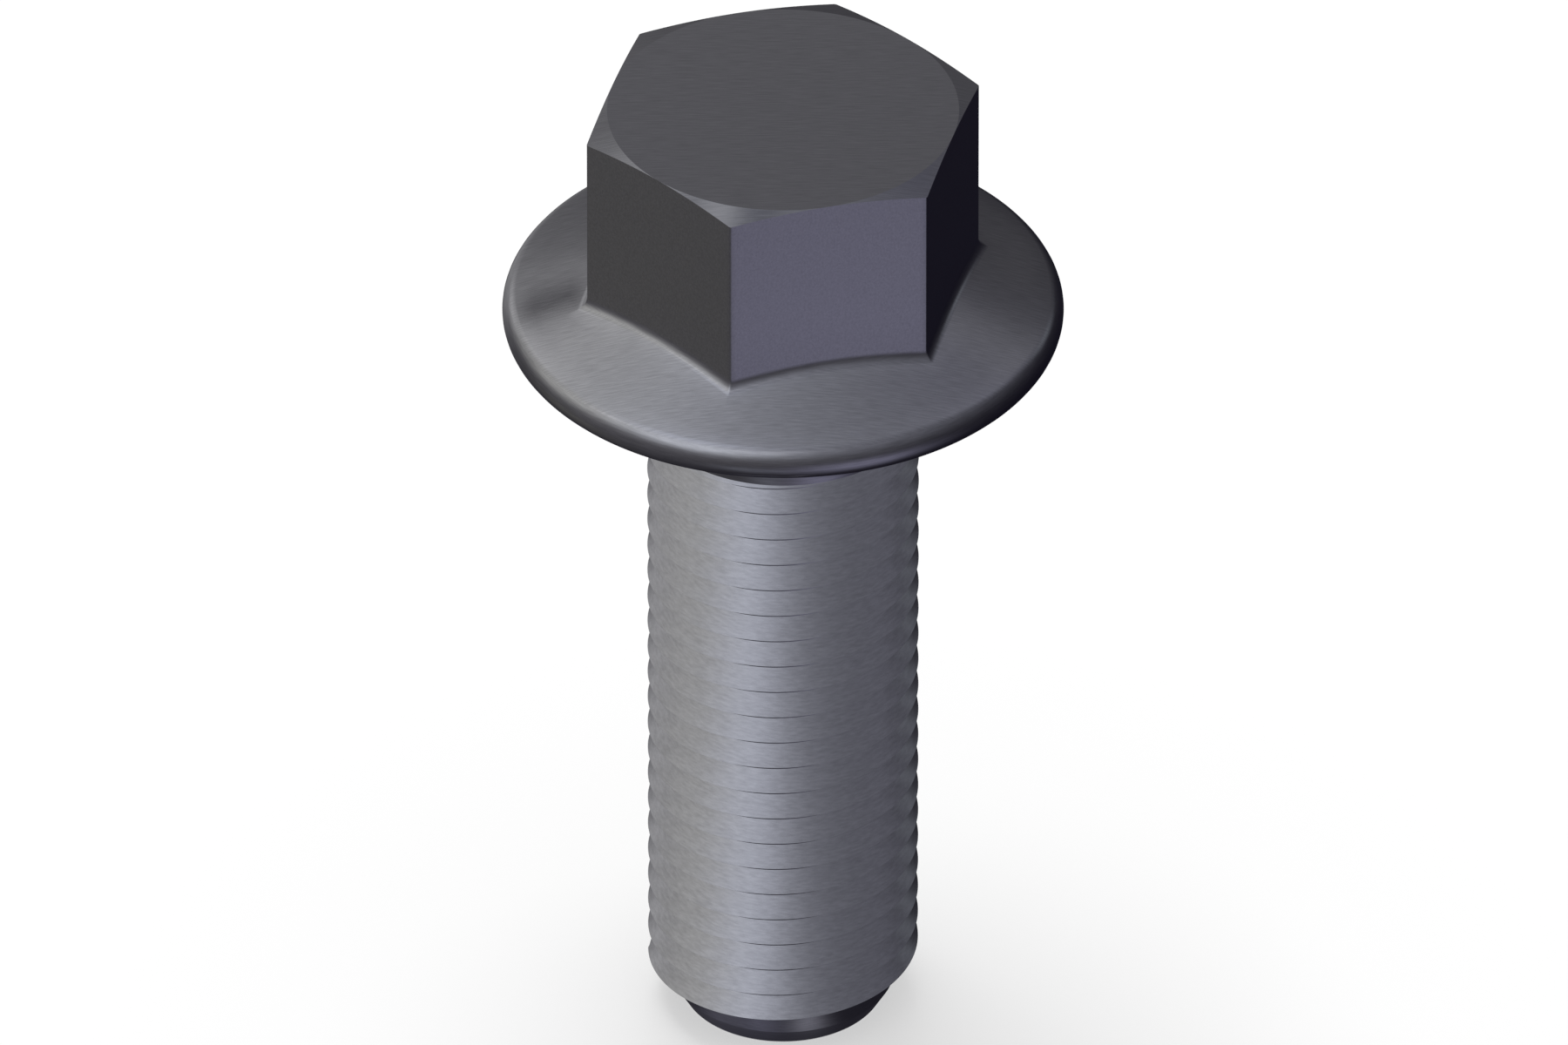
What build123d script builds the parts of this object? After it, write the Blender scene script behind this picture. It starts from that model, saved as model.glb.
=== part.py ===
from build123d import *
import math
import os

# Flange bolt for a 7/16 in right-hand fine thread, forged in one piece with its hexagon and its flange.
# Millimetres and degrees. The origin is the centre of the bearing face under the flange.
# +Z runs up through the head, and the shank hangs below it and ends in a plain point.

# Hexagon
across_flats = 14.2875       # 9/16 in spanner size, with two of the corners on the X axis
head_height = 10.62          # bearing face to the flat top
top_chamfer_slope = 15.0     # fall of the corners outside the circle that touches the flats
base_fillet = 0.5            # where each flat runs out into the flange

# Flange
flange_diameter = 22.86
flange_slope = 18.0          # fall of the top side towards the rim
rim_round = 0.794            # the rim is a full round of this radius

# Plain neck under the flange
neck_diameter = 11.1125      # 7/16 in
neck_length = 4.14
underhead_fillet = 0.6

# Thread, a right-hand ridge on the core of the shank
thread_pitch = 1.27          # 20 turns to the inch
thread_angle = 60.0          # between the flanks
thread_allowance = 0.033     # how much the crests are under the neck, on the diameter
crest_flat = 0.03            # all but sharp
root_flat = 0.135
fade_turns = 0.5             # last stretch of the ridge, in which its crest sinks into the core
fade_angle = 120.0           # part of that stretch over which it sinks
thread_end_turn = 105.0      # where the ridge has sunk away, seen from above, counted from +X

# Plain point
shank_length = 33.1          # bearing face to the tip
point_length = 1.4           # tip to the end of the ridge
point_chamfer = 0.83         # length of the cone at the tip
point_chamfer_angle = 30.0   # between that cone and the axis

# Construction
hexagon_sides = 6
sector_overlap = 4.0         # each side of the hexagon is shaped this much too wide and then trimmed
reach = 2 * flange_diameter  # larger than the bolt in every direction across the axis

flat_distance = across_flats / 2
rim_centre = flange_diameter / 2 - rim_round
sector_angle = 360 / hexagon_sides
neck_radius = neck_diameter / 2
crest_radius = (neck_diameter - thread_allowance) / 2
flank_tangent = math.tan(math.radians(thread_angle / 2))
thread_depth = (thread_pitch - crest_flat - root_flat) / 2 / flank_tangent
root_radius = crest_radius - thread_depth
ridge_seat = root_flat / 4 / flank_tangent      # how deep the ridge's foot stands in the core
foot_radius = root_radius - ridge_seat
tip_radius = root_radius - point_chamfer * math.tan(math.radians(point_chamfer_angle))


def turned(lines):
    # A solid of revolution from an outline in the XZ plane.
    return revolve(Plane.XZ * make_face(lines), Axis.Z)


def flange():
    slope = math.radians(flange_slope)
    rim_top = (rim_centre + rim_round * math.sin(slope), rim_round + rim_round * math.cos(slope))
    peak = (0, rim_top[1] + rim_top[0] * math.tan(slope))
    outline = Curve() + [
        Line((0, 0), (rim_centre, 0)),
        RadiusArc((rim_centre, 0), rim_top, -rim_round),
        Line(rim_top, peak),
        Line(peak, (0, 0)),
    ]
    return turned(outline)


def wedge(angle):
    # An upright wedge of this angle about +Y, with its edge on the axis.
    half_width = reach * math.tan(math.radians(angle / 2))
    return extrude(Polygon((0, 0), (half_width, reach), (-half_width, reach), align=None), head_height)


def head_sector():
    # One side of the hexagon with its share of the flange. The fillet is rolled along the curve in which
    # the flat meets the sloping flange, and ends on the planes through the corners, which mitre it.
    upright = (Align.CENTER, Align.MIN, Align.MIN)
    side = Box(reach, flat_distance, head_height, align=upright)
    sector = (flange() + side) & wedge(sector_angle + 2 * sector_overlap)
    flat = sector.faces().filter_by(Plane.XZ).sort_by(Axis.Y)[-1]
    foot = flat.edges().sort_by(Axis.Z)[0]
    return fillet(foot, base_fillet) & wedge(sector_angle)


def head():
    sectors = [Rot(0, 0, sector_angle * side) * head_sector() for side in range(hexagon_sides)]
    corner_fall = (reach - flat_distance) * math.tan(math.radians(top_chamfer_slope))
    outline = Polyline(
        (0, 0), (reach, 0), (reach, head_height - corner_fall),
        (flat_distance, head_height), (0, head_height), close=True,
    )
    return (Part() + sectors) & turned(outline)


def neck():
    # The plain stretch under the flange, with the fillet that carries it into the bearing face.
    outline = Curve() + [
        Polyline(
            (neck_radius + underhead_fillet, 0), (0, 0), (0, -neck_length), (neck_radius, -neck_length),
            (neck_radius, -underhead_fillet),
        ),
        RadiusArc(
            (neck_radius, -underhead_fillet), (neck_radius + underhead_fillet, 0), underhead_fillet
        ),
    ]
    return turned(outline)


def core():
    # The round that the ridge stands on. Past the last turn it is the plain point, coned at its tip.
    outline = Polyline(
        (0, 0), (0, -shank_length), (tip_radius, -shank_length),
        (root_radius, point_chamfer - shank_length), (root_radius, 0), close=True,
    )
    return turned(outline)


def ridge(turns):
    half_foot = crest_flat / 2 + (crest_radius - foot_radius) * flank_tangent
    section = Plane.XZ * Polygon(
        (foot_radius, -half_foot), (crest_radius, -crest_flat / 2),
        (crest_radius, crest_flat / 2), (foot_radius, half_foot), align=None,
    )
    path = Helix(pitch=thread_pitch, height=turns * thread_pitch, radius=root_radius)
    return sweep(section, path=path, is_frenet=True)


def faded_ridge():
    # The last stretch, trimmed by a round that stands off the axis, so that its crest sinks into the core.
    offset = (thread_depth + ridge_seat) / (1 - math.cos(math.radians(fade_angle)))
    trim = Pos(-offset, 0, 0) * Cylinder(foot_radius + offset, 2 * (fade_turns + 1) * thread_pitch)
    return ridge(fade_turns) & trim


def screwed(turns):
    # The move of a nut that goes up the thread by this many turns.
    return Pos(0, 0, turns * thread_pitch) * Rot(0, 0, 360 * turns)


def threaded_core():
    # One turn of the ridge repeats up the core. The last ones lie inside the neck, which hides where they stop.
    ridge_end = point_length - shank_length
    whole_turns = math.ceil((-neck_length - ridge_end) / thread_pitch - fade_turns + 1)
    place = Pos(0, 0, ridge_end) * Rot(0, 0, thread_end_turn)
    one_turn = ridge(1)
    turns = [place * screwed(fade_turns + count) * one_turn for count in range(whole_turns)]
    return core() + [place * faded_ridge(), *turns]


def flange_bolt():
    return threaded_core() + (head() + neck())


os.makedirs("parts", exist_ok=True)
export_step(flange_bolt(), "parts/flange_bolt.step")
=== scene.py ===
import math

import bmesh
import bpy
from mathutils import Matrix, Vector


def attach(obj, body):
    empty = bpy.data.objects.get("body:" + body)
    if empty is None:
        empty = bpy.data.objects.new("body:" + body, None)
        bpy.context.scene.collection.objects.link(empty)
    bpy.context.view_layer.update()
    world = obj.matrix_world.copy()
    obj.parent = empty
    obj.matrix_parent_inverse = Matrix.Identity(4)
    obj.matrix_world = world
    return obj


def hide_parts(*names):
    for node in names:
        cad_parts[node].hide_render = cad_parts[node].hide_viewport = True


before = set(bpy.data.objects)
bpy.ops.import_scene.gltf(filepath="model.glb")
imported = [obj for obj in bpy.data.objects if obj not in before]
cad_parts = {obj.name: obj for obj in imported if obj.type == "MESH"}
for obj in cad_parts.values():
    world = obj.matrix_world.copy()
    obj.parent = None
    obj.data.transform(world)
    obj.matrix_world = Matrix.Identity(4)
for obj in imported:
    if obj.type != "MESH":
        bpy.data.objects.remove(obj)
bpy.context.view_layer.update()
mm = 0.001
print("frame loaded")


# The bolt. Its outline is walked from the middle of the top down to the tip, once for every angle round
# the axis, so one sheet of quads runs over the hexagon, the flange and the thread.
bolt = {  # millimetres and degrees
    "acrossFlats": 14.2875,
    "headHeight": 10.62,
    "topChamferSlope": 15.0,
    "cornerRound": 0.12,     # the softened upright edges of the hexagon
    "baseFillet": 0.5,
    "flangeDiameter": 22.85,
    "flangeSlope": 18.0,
    "rimRound": 0.794,
    "neckDiameter": 11.1125,
    "neckLength": 4.14,
    "underheadFillet": 0.6,
    "threadPitch": 1.27,
    "threadAngle": 60.0,
    "threadAllowance": 0.033,
    "crestFlat": 0.003,
    "rootFlat": 0.175,
    "fadeAngle": 120.0,      # the part of a turn over which the last ridge sinks into the core
    "threadEndTurn": 105.0,  # where it has sunk away, seen from above, counted from +X
    "shankLength": 33.1,
    "pointLength": 1.4,
    "pointChamfer": 0.83,
    "pointChamferAngle": 30.0,
    "columnsPerSide": 40,    # quads across each side of the hexagon
    "filletSteps": 8,        # quads round each fillet
    "rimSteps": 16,          # quads round the rim
    "sharpAngle": 13.0,      # edges that turn by more than this stay sharp
}

hexSides = 6
sideAngle = 360.0 / hexSides
halfSide = math.radians(sideAngle / 2)
flatDistance = bolt["acrossFlats"] / 2
cornerDistance = flatDistance / math.cos(halfSide)
topFall = math.tan(math.radians(bolt["topChamferSlope"]))
coneSlope = math.radians(bolt["flangeSlope"])
coneFall = math.tan(coneSlope)
rimCentre = bolt["flangeDiameter"] / 2 - bolt["rimRound"]
rimTopRadius = rimCentre + bolt["rimRound"] * math.sin(coneSlope)
rimTopHeight = bolt["rimRound"] * (1 + math.cos(coneSlope))
conePeak = rimTopHeight + rimTopRadius * coneFall
neckRadius = bolt["neckDiameter"] / 2
crestRadius = (bolt["neckDiameter"] - bolt["threadAllowance"]) / 2
flankTangent = math.tan(math.radians(bolt["threadAngle"] / 2))
threadDepth = (bolt["threadPitch"] - bolt["crestFlat"] - bolt["rootFlat"]) / 2 / flankTangent
rootRadius = crestRadius - threadDepth
footRadius = rootRadius - bolt["rootFlat"] / 4 / flankTangent
threadTop = -bolt["neckLength"]
threadEnd = bolt["pointLength"] - bolt["shankLength"]
plainEnd = bolt["pointChamfer"] - bolt["shankLength"]
tipRadius = rootRadius - bolt["pointChamfer"] * math.tan(math.radians(bolt["pointChamferAngle"]))


def steps(count):
    # even shares from 0 to 1
    return [i / count for i in range(count + 1)]


def straight(start, end, shares):
    # points of an outline, radius and height, at these shares of the way from start to end
    return [(start[0] + (end[0] - start[0]) * s, start[1] + (end[1] - start[1]) * s) for s in shares]


def arc(centre, radius, start, end, count):
    # points of an outline round a centre, without the one at start
    turns = [math.radians(start + (end - start) * s) for s in steps(count)[1:]]
    return [(centre[0] + radius * math.cos(turn), centre[1] + radius * math.sin(turn)) for turn in turns]


def columnAngles():
    # even columns, and a few close ones at each corner of the hexagon for its softened edge
    lead = math.degrees(bolt["cornerRound"] * math.sin(halfSide) / cornerDistance)
    even = [sideAngle * s for s in steps(bolt["columnsPerSide"])[1:-1]]
    angles = []
    for corner in range(hexSides):
        here = corner * sideAngle
        angles += [here, here + lead / 2, here + lead]
        angles += [here + angle for angle in even]
        angles += [here + sideAngle - lead, here + sideAngle - lead / 2]
    return angles + [360.0]


def offMiddle(angle):
    # the angle from the middle of the nearest flat
    return math.radians(angle % sideAngle) - halfSide


def hexDistance(angle):
    # from the axis to the side of the hexagon, with the corner rounded
    delta = abs(offMiddle(angle))
    sharp = flatDistance / math.cos(delta)
    r = bolt["cornerRound"]
    centre = cornerDistance - r / math.cos(halfSide)
    across = centre * math.sin(halfSide - delta)
    if across > r:
        return sharp
    rounded = centre * math.cos(halfSide - delta) + math.sqrt(r * r - across * across)
    return min(sharp, rounded)


def filletPoint(angle, share):
    # a ball rolls along the foot of the flat; share runs from where it touches the flat to the flange
    r = bolt["baseFillet"]
    aside = math.tan(offMiddle(angle))
    x, y = flatDistance + r, aside * flatDistance
    inward, down = math.sin(coneSlope), math.cos(coneSlope)
    for _ in range(40):  # the ball moves along until the point stands at this angle
        out = math.hypot(x, y)
        z = conePeak + r / down - coneFall * out
        toFlange = Vector((-inward * x / out, -inward * y / out, -down))
        toFlat = Vector((-1, 0, 0))
        span = toFlat.angle(toFlange)
        toPoint = (toFlat * math.sin((1 - share) * span) + toFlange * math.sin(share * span)) / math.sin(span)
        px, py, pz = x + r * toPoint.x, y + r * toPoint.y, z + r * toPoint.z
        y += aside * px - py
    return math.hypot(px, py), pz


def footFillet(angle, outer):
    # the fillet starts at the softened corner, and has its own form again where it meets the flange
    inward = outer / (flatDistance / math.cos(offMiddle(angle)))
    shares = steps(bolt["filletSteps"])
    rolled = [filletPoint(angle, share) for share in shares]
    return [(r * (inward + (1 - inward) * share), z) for share, (r, z) in zip(shares, rolled)]


def headOutline(angle):
    outer = hexDistance(angle)
    top = (flatDistance, bolt["headHeight"])
    edge = (outer, bolt["headHeight"] - (outer - flatDistance) * topFall)
    foot = footFillet(angle, outer)
    onFlange = (foot[-1][0], conePeak - coneFall * foot[-1][0])
    rimRound, underhead = bolt["rimRound"], bolt["underheadFillet"]
    points = straight((0, bolt["headHeight"]), top, steps(4))
    points += straight(top, edge, steps(2)[1:])
    points += straight(edge, (outer, foot[0][1]), steps(4)[1:-1])
    points += foot
    points += straight(onFlange, (rimTopRadius, rimTopHeight), steps(4)[1:])
    points += arc((rimCentre, rimRound), rimRound, 90 - bolt["flangeSlope"], -90, bolt["rimSteps"])
    points += straight((rimCentre, 0), (neckRadius + underhead, 0), steps(2)[1:])
    points += arc((neckRadius + underhead, -underhead), underhead, 90, 180, bolt["filletSteps"])
    points += straight((neckRadius, -underhead), (neckRadius, threadTop), steps(2)[1:])
    return points


def ridgeTop(turned):
    # how far the ridge stands out, at this many degrees from where it has sunk into the core
    if turned <= 0:
        return rootRadius
    if turned >= bolt["fadeAngle"]:
        return crestRadius
    offset = (crestRadius - footRadius) / (1 - math.cos(math.radians(bolt["fadeAngle"])))
    a = math.radians(turned)
    limit = math.sqrt((footRadius + offset) ** 2 - (offset * math.sin(a)) ** 2) - offset * math.cos(a)
    return min(max(limit, rootRadius), crestRadius)


def ridgeRadius(angle, z):
    # the radius of the thread at this angle and height
    turn = (z - threadEnd) / bolt["threadPitch"] * 360.0
    nearest = round((turn - (angle - bolt["threadEndTurn"])) / 360.0)
    turned = angle - bolt["threadEndTurn"] + 360.0 * nearest
    off = abs(z - threadEnd - turned / 360.0 * bolt["threadPitch"])
    flank = crestRadius - max(off - bolt["crestFlat"] / 2, 0) / flankTangent
    return min(max(flank, rootRadius), ridgeTop(turned))


def threadOutline(angle):
    # every turn of the ridge from the neck to the point; what would stand past an end is laid on that end
    pitch = bolt["threadPitch"]
    halfFoot = bolt["crestFlat"] / 2 + threadDepth * flankTangent
    above = math.ceil((threadTop - threadEnd) / pitch) + 2
    below = -1
    points = []
    for turn in range(above, below - 1, -1):
        turned = angle - bolt["threadEndTurn"] + 360.0 * turn
        middle = threadEnd + turned / 360.0 * pitch
        top = ridgeTop(turned)
        halfTop = bolt["crestFlat"] / 2 + (crestRadius - top) * flankTangent
        upper = straight((rootRadius, halfFoot), (top, halfTop), steps(2))
        lower = [(r, -off) for r, off in reversed(upper)]
        for r, off in upper + lower:
            z = middle + off
            if z > threadTop:
                r, z = ridgeRadius(angle, threadTop), threadTop
            if z < plainEnd:
                r, z = rootRadius, plainEnd
            points.append((r, z))
    return points


def pointOutline():
    bottom = -bolt["shankLength"]
    cone = straight((rootRadius, plainEnd), (tipRadius, bottom), steps(2)[1:])
    return cone + straight((0, bottom), (tipRadius, bottom), (0.6, 0.25, 0))


def addObject(name, data):
    made = bpy.data.objects.new(name, data)
    bpy.context.scene.collection.objects.link(made)
    return made


def makeBolt():
    mesh = bpy.data.meshes.new("bolt")
    piece = addObject("bolt", mesh)
    bm = bmesh.new()
    last = []
    for angle in columnAngles():
        a = math.radians(angle)
        outline = headOutline(angle) + threadOutline(angle) + pointOutline()
        column = [bm.verts.new((r * math.cos(a) * mm, r * math.sin(a) * mm, z * mm)) for r, z in outline]
        for i in range(len(last) - 1):
            bm.faces.new((last[i], last[i + 1], column[i + 1], column[i]))
        last = column
    bmesh.ops.remove_doubles(bm, verts=bm.verts, dist=0.0001 * mm)
    bmesh.ops.recalc_face_normals(bm, faces=bm.faces)
    for face in bm.faces:
        face.smooth = True
    sharp = math.radians(bolt["sharpAngle"])
    for edge in bm.edges:
        edge.smooth = edge.calc_face_angle(math.pi) < sharp
    openEdges = sum(len(edge.link_faces) != 2 for edge in bm.edges)
    bm.to_mesh(mesh)
    bm.free()
    mesh.calc_loop_triangles()
    triangles = len(mesh.loop_triangles)
    print("bolt:", len(mesh.vertices), "points,", triangles, "triangles,", openEdges, "open edges")
    return piece


# The steel. All finishes share its colour, and differ in the marks that the tools left.
steel = {
    "colour": (0.55, 0.55, 0.57),
    "roughnessSpread": 0.03,
    "markDetail": 4.0,
    "markRoughness": 0.6,
    "faintest": 0.3,      # the noise has few values outside these two
    "strongest": 0.7,
    "bumpDepth": 0.01,    # millimetres
}

# turn is where the marks run to, as an angle round the axis from +X. scale is how fast they change along that
# line, across it and up the bolt.
finishes = {
    "brushedTop": {
        "turn": 45, "scale": (900, 16000, 0), "roughness": 0.11, "toneSpread": 0.12, "bump": 0.04,
    },
    "pressedFlat": {
        "turn": 0, "scale": (12000, 12000, 9000), "roughness": 0.18, "toneSpread": 0.12, "bump": 0.05,
    },
    "turnedFlange": {
        "turn": 45, "scale": (1200, 16000, 0), "roughness": 0.07, "toneSpread": 0.16, "bump": 0.05,
    },
    "turnedEdge": {
        "turn": 45, "scale": (1200, 1200, 16000), "roughness": 0.07, "toneSpread": 0.14, "bump": 0.04,
    },
    "rolledThread": {
        "turn": 45, "scale": (2200, 2200, 18000), "roughness": 0.12, "toneSpread": 0.12, "bump": 0.05,
    },
}


def brushMarks(nodes, links, marks):
    # noise that is stretched along the marks
    coords = nodes.new("ShaderNodeTexCoord")
    turn = nodes.new("ShaderNodeMapping")
    turn.inputs["Rotation"].default_value = (0, 0, -math.radians(marks["turn"]))
    stretch = nodes.new("ShaderNodeMapping")
    stretch.inputs["Scale"].default_value = marks["scale"]
    noise = nodes.new("ShaderNodeTexNoise")
    noise.inputs["Scale"].default_value = 1.0
    noise.inputs["Detail"].default_value = steel["markDetail"]
    noise.inputs["Roughness"].default_value = steel["markRoughness"]
    links.new(coords.outputs["Object"], turn.inputs["Vector"])
    links.new(turn.outputs[0], stretch.inputs["Vector"])
    links.new(stretch.outputs[0], noise.inputs["Vector"])
    return noise.outputs["Fac"]


def varied(nodes, links, noise, middle, spread):
    # a value that follows the noise, by as much as spread to each side of middle
    node = nodes.new("ShaderNodeMapRange")
    node.inputs["From Min"].default_value = steel["faintest"]
    node.inputs["From Max"].default_value = steel["strongest"]
    node.inputs["To Min"].default_value = middle - spread
    node.inputs["To Max"].default_value = middle + spread
    links.new(noise, node.inputs["Value"])
    return node.outputs[0]


def steelFinish(name, marks):
    material = bpy.data.materials.new(name)
    material.use_nodes = True
    nodes, links = material.node_tree.nodes, material.node_tree.links
    shader = nodes["Principled BSDF"]
    shader.inputs["Metallic"].default_value = 1.0
    noise = brushMarks(nodes, links, marks)
    roughness = varied(nodes, links, noise, marks["roughness"], steel["roughnessSpread"])
    tone = varied(nodes, links, noise, 1, marks["toneSpread"])
    tint = nodes.new("ShaderNodeVectorMath")
    tint.operation = "SCALE"
    tint.inputs[0].default_value = steel["colour"]
    bump = nodes.new("ShaderNodeBump")
    bump.inputs["Strength"].default_value = marks["bump"]
    bump.inputs["Distance"].default_value = steel["bumpDepth"] * mm
    links.new(roughness, shader.inputs["Roughness"])
    links.new(tone, tint.inputs["Scale"])
    links.new(tint.outputs[0], shader.inputs["Base Color"])
    links.new(noise, bump.inputs["Height"])
    links.new(bump.outputs[0], shader.inputs["Normal"])
    return material


# Which finish a face gets goes by where it is and how it leans, from 0 for upright to 1 for level.
leans = {"topOver": 0.9, "flatUnder": 0.2, "flangeOver": 0.75}
chamferDepth = (cornerDistance - flatDistance) * topFall


def finishOf(at, lean):
    if at.z > bolt["headHeight"] - chamferDepth and lean > leans["topOver"]:
        return "brushedTop"
    if at.z > conePeak - coneFall * math.hypot(at.x, at.y) and lean < leans["flatUnder"]:
        return "pressedFlat"
    if threadTop > at.z > plainEnd:
        return "rolledThread"
    if lean > leans["flangeOver"]:
        return "turnedFlange"
    return "turnedEdge"


def finishBolt(piece):
    order = list(finishes)
    for name in order:
        piece.data.materials.append(steelFinish(name, finishes[name]))
    for face in piece.data.polygons:
        face.material_index = order.index(finishOf(face.center / mm, abs(face.normal.z)))
    print("steel finishes on", len(piece.data.polygons), "faces")


boltPiece = makeBolt()
finishBolt(boltPiece)
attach(boltPiece, "root")
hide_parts("flange_bolt")
boltPiece.visible_glossy = False  # the steel mirrors the studio, and not itself


# The floor and the studio. Angles are counted from the camera, to the right as seen from there.
studio = {  # metres and degrees
    "floorWidth": 4.0,
    "floorColour": (0.95, 0.95, 0.95, 1.0),
    "floorGlow": 0.5,       # how much of the floor's white is its own, where the camera sees it
    "worldLight": 0.60,
    "keyLight": 0.62,       # how bright the key lamp makes a white floor straight below it
    "keyWidth": 0.5,
    "keyPlace": (-0.25, 0.1, 0.8),
    "cameraTurn": -45.0,    # the camera's place round the axis, from +X
    "cameraRise": 35.2644,
}

# What the steel mirrors: soft cards on a dark tent round the bolt, seen by no other light than the mirrored
# one. It comes down to the floor, and from there it lies on the floor as far as the bolt's point.
tent = {  # millimetres
    "reach": 300,
    "dark": (0.006, 0.005, 0.012),  # its colour between the cards
    "turnSteps": 180,
    "riseSteps": 48,
    "offFloor": 0.05,
    "floorRings": (220, 160, 120, 90, 75, 60, 50, 40, 30, 22, 16),
    "pointRings": (12, 10, 8.5, 7.5, 6.8, 6.2, 5.6, 5, 4.5, 4, 2, 0.5),
}

# turn is counted as above, rise is up from level, spread is how softly the card falls off, in degrees, and
# light is its colour. Most of these numbers weren't set by hand: another program fitted them, by least
# squares, to tones read from the photograph.
cards = {
    "frontLeftBox": {"turn": -42, "rise": 50, "spread": 17, "light": (0.53, 0.553, 0.593)},
    "leftBox": {"turn": -105, "rise": 36, "spread": 19.2, "light": (0.383, 0.383, 0.353)},
    "leftNarrow": {"turn": -93, "rise": 52, "spread": 3.9, "light": (0.156, 0.156, 0.162)},
    "upperBox": {"turn": -97, "rise": 72, "spread": 10.5, "light": (0.252, 0.268, 0.316)},
    "wideSheet": {"turn": -56, "rise": 41, "spread": 62.5, "light": (0.136, 0.133, 0.138)},
    "frontSheet": {"turn": 21, "rise": 70, "spread": 34.3, "light": (0.098, 0.103, 0.125)},
    "frontHigh": {"turn": -8, "rise": 68, "spread": 7, "light": (0.11, 0.11, 0.12)},
    "topSheet": {"turn": 164, "rise": 77, "spread": 11.9, "light": (0.076, 0.08, 0.088)},
    "backSheet": {"turn": -178, "rise": 31, "spread": 16.2, "light": (0.107, 0.107, 0.107)},
    "backLeftStrip": {"turn": -142, "rise": 16, "spread": 9.3, "light": (0.308, 0.308, 0.308)},
    "backLeftLow": {"turn": -142, "rise": 39, "spread": 8.1, "light": (0.261, 0.261, 0.261)},
    "backLeftHigh": {"turn": -140, "rise": 59, "spread": 10.5, "light": (0.205, 0.21, 0.216)},
    "backRightStrip": {"turn": 132, "rise": 51, "spread": 12, "light": (0.101, 0.102, 0.123)},
    "backRightLow": {"turn": 148, "rise": 43, "spread": 5.5, "light": (0.067, 0.067, 0.067)},
    "rightStrip": {"turn": 134, "rise": 26, "spread": 6.2, "light": (0.092, 0.099, 0.109)},
    "floorRight": {"turn": 30, "rise": -33, "spread": 15, "light": (0.182, 0.178, 0.247)},
    "floorFront": {"turn": -13, "rise": -38, "spread": 8, "light": (0.07, 0.074, 0.088)},
    "floorLeft": {"turn": -94, "rise": -33, "spread": 13, "light": (0.035, 0.035, 0.023)},
    "backLowStrip": {"turn": -153, "rise": -10, "spread": 13.5, "light": (0.251, 0.251, 0.251)},
    "backSpot": {"turn": -164, "rise": 62, "spread": 2.2, "light": (0.279, 0.279, 0.279)},
    "sideSpot": {"turn": -159, "rise": 25, "spread": 2.2, "light": (0.047, 0.047, 0.047)},
    # dark cards take light away
    "darkTop": {"turn": -172, "rise": 64, "spread": 2.3, "light": (-0.238, -0.238, -0.238)},
    "darkSpot": {"turn": -160, "rise": 60, "spread": 2.2, "light": (-0.217, -0.217, -0.217)},
    "darkStrip": {"turn": -160, "rise": 41, "spread": 3.7, "light": (-0.196, -0.196, -0.196)},
    "darkStripLow": {"turn": -153, "rise": 32, "spread": 2.5, "light": (-0.168, -0.168, -0.168)},
    "darkRight": {"turn": 165, "rise": 47, "spread": 8.1, "light": (-0.127, -0.127, -0.127)},
}

# Small cards that lie on the floor by the point of the bolt. out and spread are in millimetres.
pointCards = {
    "farLeft": {"turn": -42, "out": 6.2, "spread": 1.3, "light": (0.08, 0.08, 0.10)},
    "left": {"turn": -14, "out": 6.2, "spread": 1.1, "light": (0.09, 0.09, 0.12)},
    "right": {"turn": 16, "out": 6.2, "spread": 0.9, "light": (0.19, 0.19, 0.22)},
}


def direction(turn, rise):
    turn, rise = math.radians(studio["cameraTurn"] + turn), math.radians(rise)
    return Vector((math.cos(turn) * math.cos(rise), math.sin(turn) * math.cos(rise), math.sin(rise)))


def softened(card, off):
    # what the card gives at this distance from its middle
    return Vector(card["light"]) * math.exp(-0.5 * (off / card["spread"]) ** 2)


def tentLight(toward):
    light = Vector(tent["dark"])
    for card in cards.values():
        light += softened(card, math.degrees(toward.angle(direction(card["turn"], card["rise"]), 0)))
    return Vector([max(part, 0) for part in light])


def floorLight(spot):
    light = Vector((0, 0, 0))
    for card in pointCards.values():
        light += softened(card, (spot - direction(card["turn"], 0) * card["out"] * mm).length / mm)
    return light


def tentRings():
    # radius and height of each ring, from the top of the tent to the bolt's point
    floor = tent["offFloor"] - bolt["shankLength"]
    edge = math.degrees(math.asin(floor / tent["reach"]))
    rings = [(0, tent["reach"])] + arc((0, 0), tent["reach"], 90, edge, tent["riseSteps"])
    rings += [(out, floor) for out in tent["floorRings"] + tent["pointRings"]]
    return [(out * mm, z * mm) for out, z in rings]


def emptyTree(owner):
    owner.use_nodes = True
    owner.node_tree.nodes.clear()
    return owner.node_tree.nodes, owner.node_tree.links


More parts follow.
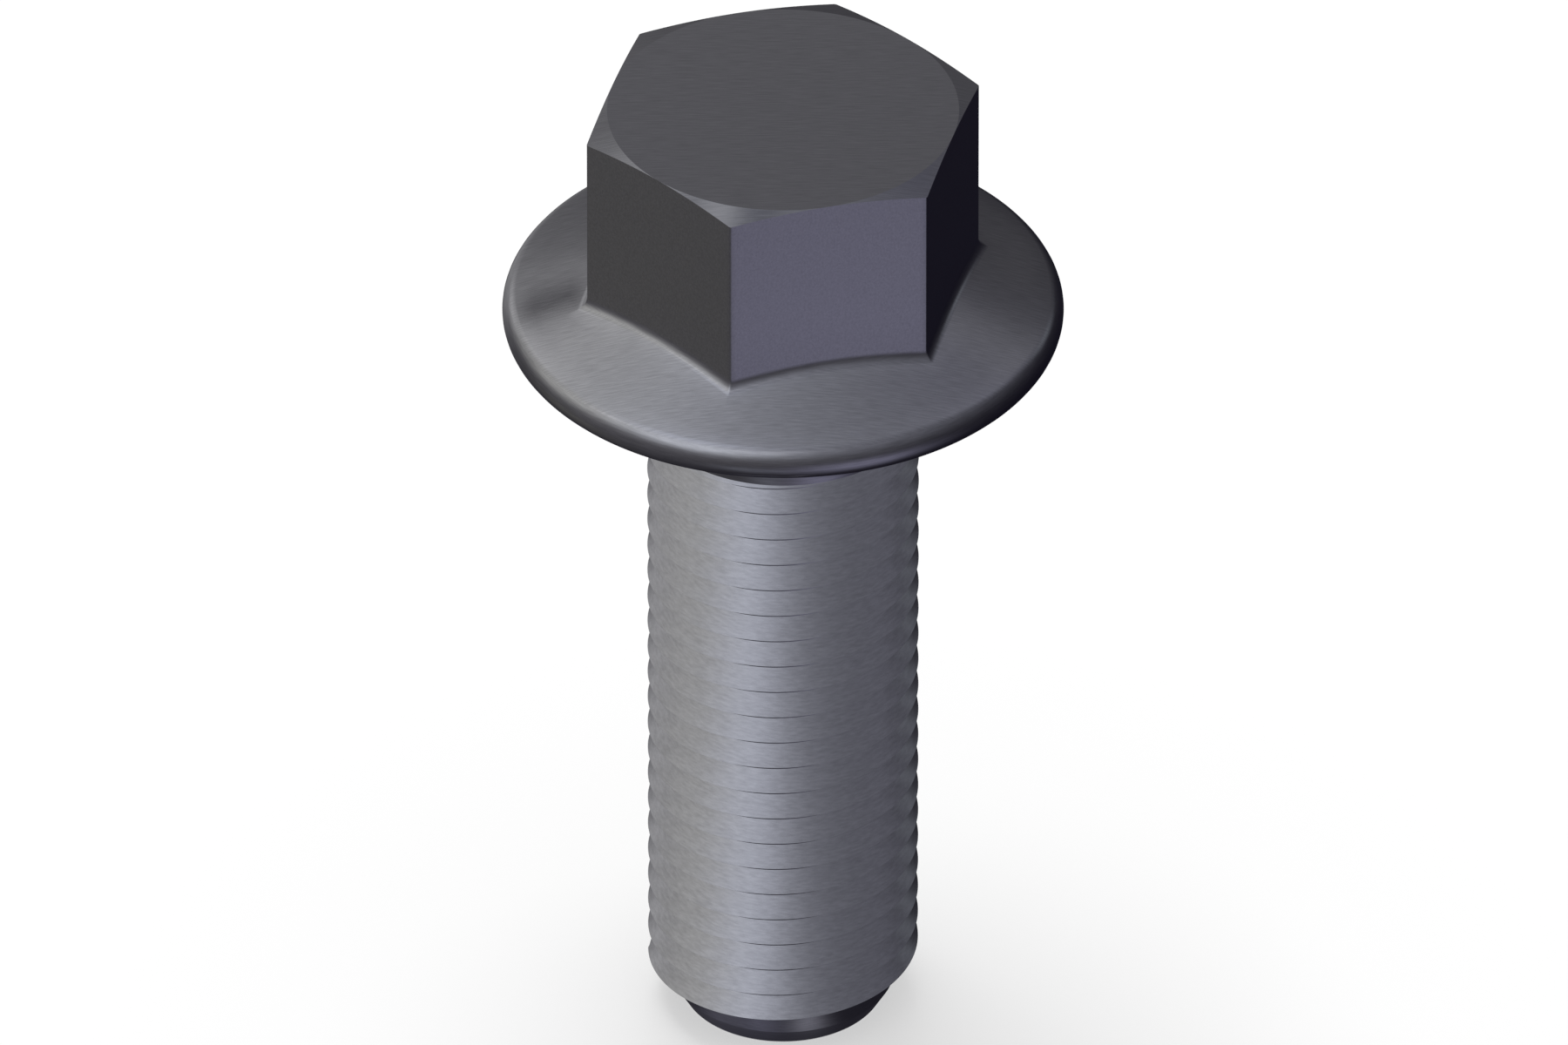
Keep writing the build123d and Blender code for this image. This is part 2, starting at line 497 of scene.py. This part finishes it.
def makeTent():
    mesh = bpy.data.meshes.new("tent")
    piece = addObject("tent", mesh)
    rings = tentRings()
    floor = rings[-1][1] + 0.001 * mm
    bm = bmesh.new()
    mirrored = bm.verts.layers.float_color.new("mirrored")
    columns = []
    for i in range(tent["turnSteps"]):
        turn = math.tau * i / tent["turnSteps"]
        column = [bm.verts.new((out * math.cos(turn), out * math.sin(turn), z)) for out, z in rings]
        for spot in column:
            light = tentLight(spot.co.normalized())
            if spot.co.z < floor:
                light += floorLight(Vector((spot.co.x, spot.co.y, 0)))
            spot[mirrored] = (*light, 1.0)
        columns.append(column)
    for column, after in zip(columns, columns[1:] + columns[:1]):
        for j in range(len(rings) - 1):
            bm.faces.new((column[j], after[j], after[j + 1], column[j + 1]))
    bm.faces.new([column[-1] for column in columns])
    bmesh.ops.remove_doubles(bm, verts=bm.verts, dist=0.001 * mm)
    bm.to_mesh(mesh)
    bm.free()
    material = bpy.data.materials.new("tent")
    nodes, links = emptyTree(material)
    colour = nodes.new("ShaderNodeAttribute")
    colour.attribute_name = "mirrored"
    glow = nodes.new("ShaderNodeEmission")
    out = nodes.new("ShaderNodeOutputMaterial")
    links.new(colour.outputs["Color"], glow.inputs["Color"])
    links.new(glow.outputs[0], out.inputs["Surface"])
    mesh.materials.append(material)
    piece.visible_camera = False
    piece.visible_diffuse = False
    piece.visible_transmission = False
    piece.visible_volume_scatter = False
    piece.visible_shadow = False
    print("tent:", len(cards), "soft cards")


def seenOrMirrored(nodes, links):
    # 1 where the camera sees it, straight, in metal or through glass, and 0 where it lights something
    rays = nodes.new("ShaderNodeLightPath")
    seen = rays.outputs["Is Camera Ray"]
    for kind in ("Is Glossy Ray", "Is Transmission Ray"):
        either = nodes.new("ShaderNodeMath")
        either.operation = "MAXIMUM"
        links.new(seen, either.inputs[0])
        links.new(rays.outputs[kind], either.inputs[1])
        seen = either.outputs[0]
    return seen


def makeFloor():
    mesh = bpy.data.meshes.new("floor")
    piece = addObject("floor", mesh)
    half = studio["floorWidth"] / 2
    level = -bolt["shankLength"] * mm
    corners = [(x * half, y * half, level) for x, y in ((-1, -1), (1, -1), (1, 1), (-1, 1))]
    mesh.from_pydata(corners, [], [(0, 1, 2, 3)])
    material = bpy.data.materials.new("floor")
    nodes, links = emptyTree(material)
    paint = nodes.new("ShaderNodeBsdfDiffuse")
    paint.inputs["Color"].default_value = studio["floorColour"]
    glow = nodes.new("ShaderNodeEmission")
    share = nodes.new("ShaderNodeMath")
    share.operation = "MULTIPLY"
    share.inputs[1].default_value = studio["floorGlow"]
    white = nodes.new("ShaderNodeMixShader")
    side = nodes.new("ShaderNodeNewGeometry")
    clear = nodes.new("ShaderNodeBsdfTransparent")
    below = nodes.new("ShaderNodeMixShader")  # nothing is drawn of the floor from below
    out = nodes.new("ShaderNodeOutputMaterial")
    links.new(seenOrMirrored(nodes, links), share.inputs[0])
    links.new(share.outputs[0], white.inputs["Fac"])
    links.new(paint.outputs[0], white.inputs[1])
    links.new(glow.outputs[0], white.inputs[2])
    links.new(side.outputs["Backfacing"], below.inputs["Fac"])
    links.new(white.outputs[0], below.inputs[1])
    links.new(clear.outputs[0], below.inputs[2])
    links.new(below.outputs[0], out.inputs["Surface"])
    mesh.materials.append(material)


def makeWorld():
    world = bpy.data.worlds.new("studio")
    bpy.context.scene.world = world
    nodes, links = emptyTree(world)
    light = nodes.new("ShaderNodeBackground")
    light.inputs["Color"].default_value = (1, 1, 1, 1)
    light.inputs["Strength"].default_value = studio["worldLight"]
    white = nodes.new("ShaderNodeBackground")
    white.inputs["Color"].default_value = (1, 1, 1, 1)
    mix = nodes.new("ShaderNodeMixShader")
    out = nodes.new("ShaderNodeOutputWorld")
    links.new(seenOrMirrored(nodes, links), mix.inputs["Fac"])
    links.new(light.outputs[0], mix.inputs[1])
    links.new(white.outputs[0], mix.inputs[2])
    links.new(mix.outputs[0], out.inputs["Surface"])


def makeKeyLight():
    data = bpy.data.lights.new("key", "AREA")
    data.shape = "SQUARE"
    data.size = studio["keyWidth"]
    lamp = addObject("key", data)
    lamp.location = studio["keyPlace"]
    lamp.rotation_euler = (-lamp.location).to_track_quat("-Z", "Y").to_euler()
    data.energy = studio["keyLight"] * (math.pi * lamp.location.length) ** 2
    lamp.visible_glossy = False
    lamp.visible_camera = False


# The camera stands far off, as for the photograph, so upright edges stay parallel.
camera = {  # metres, with the lens and the sensor in millimetres
    "lens": 1080.0,
    "sensor": 36.0,
    "frameWidth": 0.064,    # how much the picture shows from side to side, at the bolt
    "aimHeight": -0.0099,   # the height on the axis that is at the middle of the picture
    "aimRight": 0.000039,   # how far the middle of the picture is to the right of the axis
    "clip": (0.5, 5),       # what it sees starts and ends here, in distances from it to the bolt
}


def makeCamera():
    data = bpy.data.cameras.new("camera")
    data.lens = camera["lens"]
    data.sensor_width = camera["sensor"]
    rig = addObject("camera", data)
    toCamera = direction(0, studio["cameraRise"])
    aim = Vector((0, 0, camera["aimHeight"])) + direction(90, 0) * camera["aimRight"]
    distance = camera["frameWidth"] * camera["lens"] / camera["sensor"]
    rig.location = aim + toCamera * distance
    rig.rotation_euler = (-toCamera).to_track_quat("-Z", "Y").to_euler()
    data.clip_start, data.clip_end = [distance * part for part in camera["clip"]]
    bpy.context.scene.camera = rig


makeTent()
makeFloor()
makeWorld()
makeKeyLight()
makeCamera()
bpy.context.scene.view_settings.view_transform = "Standard"
print("floor, light and camera placed")
